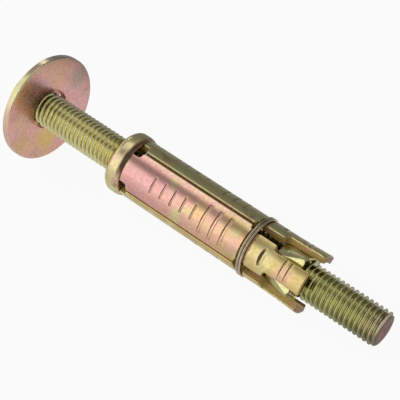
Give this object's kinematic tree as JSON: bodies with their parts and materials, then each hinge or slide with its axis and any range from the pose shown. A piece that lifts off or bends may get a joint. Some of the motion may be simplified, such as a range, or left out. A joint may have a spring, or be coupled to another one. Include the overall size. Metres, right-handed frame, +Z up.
{
  "type": "expansion shield anchor bolt",
  "caption": "Masonry anchor: a threaded bolt with a wide washer runs through a slotted expansion shield, whose segments open as a cone nut is drawn between them.",
  "frame": {"origin": "on the bolt's axis, in the plane of the ferrule's outer face, which stands at the wall's surface", "axes": "+X along the bolt towards its tip and into the masonry, +Z up, with the slots between the segments on the Y and Z axes"},
  "size_m": [0.1475, 0.0374, 0.0374],
  "materials": {
    "bolt_zinc": "yellow passivated zinc, olive gold",
    "washer_zinc": "yellow passivated zinc, pink gold with iridescence",
    "ferrule_zinc": "yellow passivated zinc, gold",
    "shield_zinc": "yellow passivated zinc, pink to yellow gold",
    "ring_wire": "drawn spring wire, pale",
    "nut_zinc": "yellow passivated zinc, straw"
  },
  "bodies": {
    "shield": {"ferrule": "ferrule_zinc", "wire_ring": "ring_wire"},
    "bolt": {"bolt": "bolt_zinc"},
    "washer": {"washer": "washer_zinc"},
    "nut": {"expander_nut": "nut_zinc"},
    "segment_front_top": {"segment_front_top": "shield_zinc"},
    "segment_back_top": {"segment_back_top": "shield_zinc"},
    "segment_back_bottom": {"segment_back_bottom": "shield_zinc"},
    "segment_front_bottom": {"segment_front_bottom": "shield_zinc"}
  },
  "joints": [
    {"name": "bolt_turn", "type": "hinge", "parent": "shield", "child": "bolt", "pos_m": [0, 0, 0], "axis": [1, 0, 0], "range_deg": [0, 720]},
    {"name": "nut_travel", "type": "slide", "parent": "shield", "child": "nut", "axis": [-1, 0, 0], "range_m": [0, 0.0035]},
    {"name": "washer_slide", "type": "slide", "parent": "shield", "child": "washer", "axis": [1, 0, 0], "range_m": [0, 0.03]},
    {"name": "open_front_top", "type": "hinge", "parent": "shield", "child": "segment_front_top", "pos_m": [0.0049, -0.00615, 0.00615], "axis": [0, -0.7071, -0.7071], "range_deg": [0, 1], "deforming": ["wire_ring"]},
    {"name": "open_back_top", "type": "hinge", "parent": "shield", "child": "segment_back_top", "pos_m": [0.0049, 0.00615, 0.00615], "axis": [0, -0.7071, 0.7071], "range_deg": [0, 1], "deforming": ["wire_ring"]},
    {"name": "open_back_bottom", "type": "hinge", "parent": "shield", "child": "segment_back_bottom", "pos_m": [0.0049, 0.00615, -0.00615], "axis": [0, 0.7071, 0.7071], "range_deg": [0, 1], "deforming": ["wire_ring"]},
    {"name": "open_front_bottom", "type": "hinge", "parent": "shield", "child": "segment_front_bottom", "pos_m": [0.0049, -0.00615, -0.00615], "axis": [0, 0.7071, -0.7071], "range_deg": [0, 1], "deforming": ["wire_ring"]}
  ],
  "couplings": [
    {"joint": "nut_travel", "follows": "bolt_turn", "m_per_rad": 0.0002785},
    {"joint": "open_front_top", "follows": "bolt_turn", "ratio": 0.001319},
    {"joint": "open_back_top", "follows": "bolt_turn", "ratio": 0.001319},
    {"joint": "open_back_bottom", "follows": "bolt_turn", "ratio": 0.001319},
    {"joint": "open_front_bottom", "follows": "bolt_turn", "ratio": 0.001319}
  ]
}
